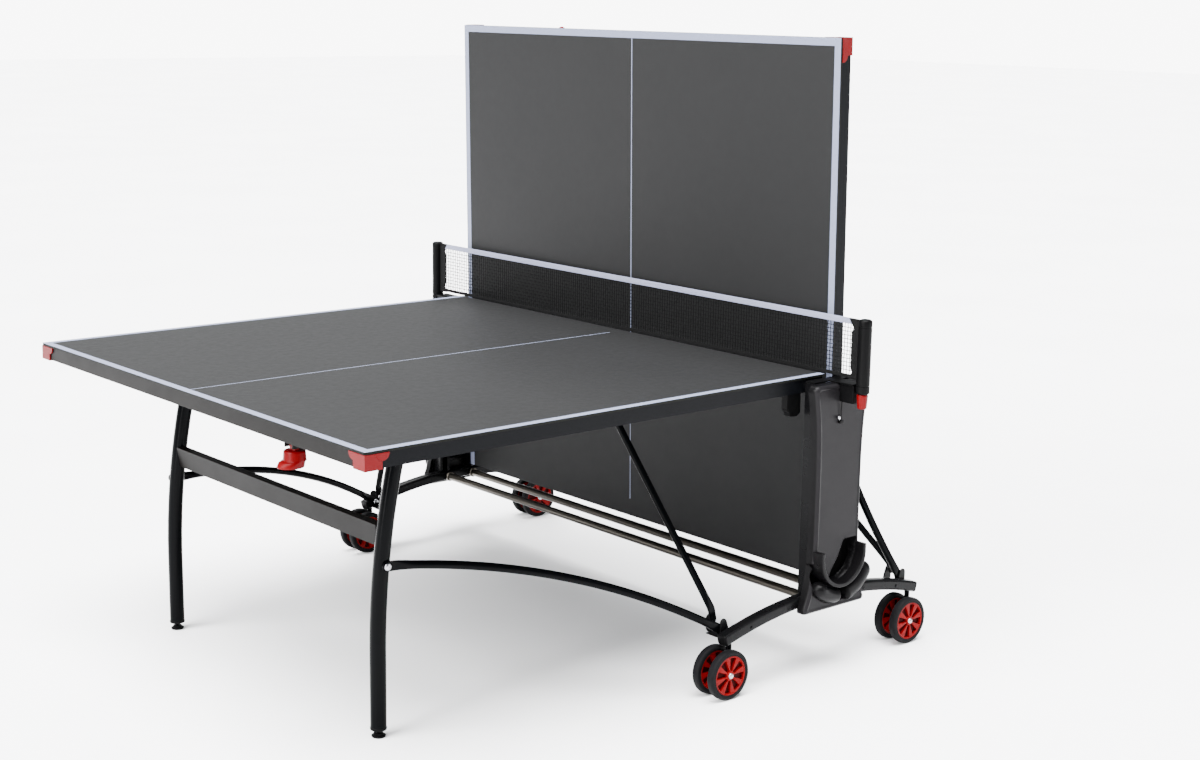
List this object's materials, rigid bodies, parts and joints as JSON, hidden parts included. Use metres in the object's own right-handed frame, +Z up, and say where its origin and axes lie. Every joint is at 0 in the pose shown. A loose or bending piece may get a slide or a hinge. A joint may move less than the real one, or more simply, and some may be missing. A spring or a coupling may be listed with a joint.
{
  "type": "table tennis table",
  "caption": "Folding table tennis table on a wheeled carriage, with one half level on its legs, the other folded upright beside the net, and bat holders in the side panels.",
  "frame": {"origin": "on the floor, under the centre of the bounding box", "axes": "+Z up, +Y along the net towards the rear side panel, +X along the table from the playing half towards the folded half"},
  "size_m": [1.742, 1.81, 1.5878],
  "materials": {
    "board": "satin melamine",
    "black_steel": "semi-gloss powder coat",
    "end_rail_steel": "satin powder coat",
    "bare_steel": "satin",
    "red_plastic": "gloss",
    "black_plastic": "satin",
    "panel_plastic": "satin",
    "nylon": "matt",
    "net_cord": "woven",
    "net_tape": "woven",
    "tyre": "matt"
  },
  "bodies": {
    "carriage": {"carriage_tube_front": "black_steel", "carriage_tube_rear": "black_steel", "tube_end_plugs": "black_plastic", "cross_tubes": "bare_steel", "guide_tracks": "black_steel", "link_brackets": "black_steel", "side_panel_front": "panel_plastic", "side_panel_rear": "panel_plastic", "bat_holder_front": "panel_plastic", "bat_holder_rear": "panel_plastic", "net_arms": "black_plastic", "net_posts": "black_plastic", "net_mesh": "net_cord", "net_tape": "net_tape", "net_band": "net_cord", "net_cord_clips": "black_plastic"},
    "left_guide": {"left_guide_blocks": "nylon"},
    "left_half": {"left_board": "board", "left_side_rails": "black_steel", "left_end_rails": "end_rail_steel", "left_cross_rails": "black_steel", "left_corner_caps": "red_plastic", "left_lock_hooks": "black_plastic"},
    "left_lever": {"left_latch_lever": "red_plastic"},
    "left_strut_pair": {"left_struts": "black_steel"},
    "left_leg_frame": {"left_legs": "black_steel", "left_leg_beam": "black_steel"},
    "left_front_foot": {"left_foot_front": "black_plastic"},
    "left_rear_foot": {"left_foot_rear": "black_plastic"},
    "left_arch_pair": {"left_arch_links": "black_steel"},
    "right_guide": {"right_guide_blocks": "nylon"},
    "right_half": {"right_board": "board", "right_side_rails": "black_steel", "right_end_rails": "end_rail_steel", "right_cross_rails": "black_steel", "right_corner_caps": "red_plastic", "right_lock_hooks": "black_plastic"},
    "right_lever": {"right_latch_lever": "red_plastic"},
    "right_strut_pair": {"right_struts": "black_steel"},
    "right_leg_frame": {"right_legs": "black_steel", "right_leg_beam": "black_steel"},
    "right_front_foot": {"right_foot_front": "black_plastic"},
    "right_rear_foot": {"right_foot_rear": "black_plastic"},
    "right_arch_pair": {"right_arch_links": "black_steel"},
    "caster_left_front": {"caster_left_front_fork": "black_plastic"},
    "caster_left_front_wheels": {"caster_left_front_tyres": "tyre", "caster_left_front_hubs": "red_plastic"},
    "caster_left_rear": {"caster_left_rear_fork": "black_plastic"},
    "caster_left_rear_wheels": {"caster_left_rear_tyres": "tyre", "caster_left_rear_hubs": "red_plastic"},
    "caster_right_front": {"caster_right_front_fork": "black_plastic"},
    "caster_right_front_wheels": {"caster_right_front_tyres": "tyre", "caster_right_front_hubs": "red_plastic"},
    "caster_right_rear": {"caster_right_rear_fork": "black_plastic"},
    "caster_right_rear_wheels": {"caster_right_rear_tyres": "tyre", "caster_right_rear_hubs": "red_plastic"},
    "front_net_knob": {"net_knob_front": "red_plastic"},
    "rear_net_knob": {"net_knob_rear": "red_plastic"}
  },
  "joints": [
    {"name": "left_half_fold", "type": "hinge", "parent": "left_guide", "child": "left_half", "pos_m": [0.4415, 0, 0.735], "axis": [0, 1, 0], "range_deg": [0, 91.1]},
    {"name": "left_guide_slide", "type": "slide", "parent": "carriage", "child": "left_guide", "axis": [0, 0, 1], "range_m": [-0.46, 0]},
    {"name": "left_strut_pivot", "type": "hinge", "parent": "left_half", "child": "left_strut_pair", "pos_m": [0.0435, 0, 0.733], "axis": [0, 1, 0], "range_deg": [-49.06, 0]},
    {"name": "left_leg_pivot", "type": "hinge", "parent": "left_half", "child": "left_leg_frame", "pos_m": [-0.5785, 0, 0.733], "axis": [0, 1, 0], "range_deg": [-80.14, 0]},
    {"name": "left_arch_pivot", "type": "hinge", "parent": "left_leg_frame", "child": "left_arch_pair", "pos_m": [-0.64109, 0, 0.411], "axis": [0, 1, 0], "range_deg": [0, 72.7]},
    {"name": "left_lever_pull", "type": "hinge", "parent": "left_half", "child": "left_lever", "pos_m": [-0.8285, -0.423, 0.708], "axis": [0, 1, 0], "range_deg": [0, 15]},
    {"name": "left_front_foot_screw", "type": "slide", "parent": "left_leg_frame", "child": "left_front_foot", "axis": [0, 0, -1], "range_m": [0, 0.012]},
    {"name": "left_rear_foot_screw", "type": "slide", "parent": "left_leg_frame", "child": "left_rear_foot", "axis": [0, 0, -1], "range_m": [0, 0.012]},
    {"name": "right_half_unfold", "type": "hinge", "parent": "right_guide", "child": "right_half", "pos_m": [0.5615, 0, 0.2752], "axis": [0, 1, 0], "range_deg": [0, 91.1]},
    {"name": "right_guide_slide", "type": "slide", "parent": "carriage", "child": "right_guide", "axis": [0, 0, 1], "range_m": [0, 0.46]},
    {"name": "right_strut_pivot", "type": "hinge", "parent": "right_half", "child": "right_strut_pair", "pos_m": [0.55586, 0, 0.67317], "axis": [0, 1, 0], "range_deg": [-49.06, 0]},
    {"name": "right_leg_pivot", "type": "hinge", "parent": "right_half", "child": "right_leg_frame", "pos_m": [0.54392, 0, 1.29505], "axis": [0, 1, 0], "range_deg": [-80.14, 0]},
    {"name": "right_arch_pivot", "type": "hinge", "parent": "right_leg_frame", "child": "right_arch_pair", "pos_m": [0.6667, 0, 0.99087], "axis": [0, 1, 0], "range_deg": [0, 72.7]},
    {"name": "right_lever_pull", "type": "hinge", "parent": "right_half", "child": "right_lever", "pos_m": [0.56411, 0.423, 1.54548], "axis": [0, -1, 0], "range_deg": [0, 15]},
    {"name": "right_front_foot_screw", "type": "slide", "parent": "right_leg_frame", "child": "right_front_foot", "axis": [0.1905, 0, -0.9817], "range_m": [0, 0.012]},
    {"name": "right_rear_foot_screw", "type": "slide", "parent": "right_leg_frame", "child": "right_rear_foot", "axis": [0.1905, 0, -0.9817], "range_m": [0, 0.012]},
    {"name": "caster_left_front_swivel", "type": "hinge", "parent": "carriage", "child": "caster_left_front", "pos_m": [0.1685, -0.784, 0.125], "axis": [0, 0, 1], "continuous": true},
    {"name": "caster_left_front_roll", "type": "hinge", "parent": "caster_left_front", "child": "caster_left_front_wheels", "pos_m": [0.1425, -0.784, 0.0625], "axis": [0, 1, 0], "continuous": true},
    {"name": "caster_left_rear_swivel", "type": "hinge", "parent": "carriage", "child": "caster_left_rear", "pos_m": [0.1685, 0.784, 0.125], "axis": [0, 0, 1], "continuous": true},
    {"name": "caster_left_rear_roll", "type": "hinge", "parent": "caster_left_rear", "child": "caster_left_rear_wheels", "pos_m": [0.1425, 0.784, 0.0625], "axis": [0, 1, 0], "continuous": true},
    {"name": "caster_right_front_swivel", "type": "hinge", "parent": "carriage", "child": "caster_right_front", "pos_m": [0.8345, -0.784, 0.125], "axis": [0, 0, 1], "continuous": true},
    {"name": "caster_right_front_roll", "type": "hinge", "parent": "caster_right_front", "child": "caster_right_front_wheels", "pos_m": [0.8085, -0.784, 0.0625], "axis": [0, 1, 0], "continuous": true},
    {"name": "caster_right_rear_swivel", "type": "hinge", "parent": "carriage", "child": "caster_right_rear", "pos_m": [0.8345, 0.784, 0.125], "axis": [0, 0, 1], "continuous": true},
    {"name": "caster_right_rear_roll", "type": "hinge", "parent": "caster_right_rear", "child": "caster_right_rear_wheels", "pos_m": [0.8085, 0.784, 0.0625], "axis": [0, 1, 0], "continuous": true},
    {"name": "front_net_knob_turn", "type": "hinge", "parent": "carriage", "child": "front_net_knob", "pos_m": [0.5015, -0.888, 0.71], "axis": [0, 0, 1], "continuous": true},
    {"name": "rear_net_knob_turn", "type": "hinge", "parent": "carriage", "child": "rear_net_knob", "pos_m": [0.5015, 0.888, 0.71], "axis": [0, 0, 1], "continuous": true}
  ],
  "couplings": [
    {"joint": "left_guide_slide", "follows": "left_half_fold", "m_per_rad": -0.28918},
    {"joint": "left_strut_pivot", "follows": "left_half_fold", "ratio": -0.53833},
    {"joint": "left_leg_pivot", "follows": "left_half_fold", "ratio": -0.87945},
    {"joint": "left_arch_pivot", "follows": "left_half_fold", "ratio": 0.79786},
    {"joint": "right_guide_slide", "follows": "right_half_unfold", "m_per_rad": 0.28918},
    {"joint": "right_strut_pivot", "follows": "right_half_unfold", "ratio": -0.53833},
    {"joint": "right_leg_pivot", "follows": "right_half_unfold", "ratio": -0.87945},
    {"joint": "right_arch_pivot", "follows": "right_half_unfold", "ratio": 0.79786}
  ]
}
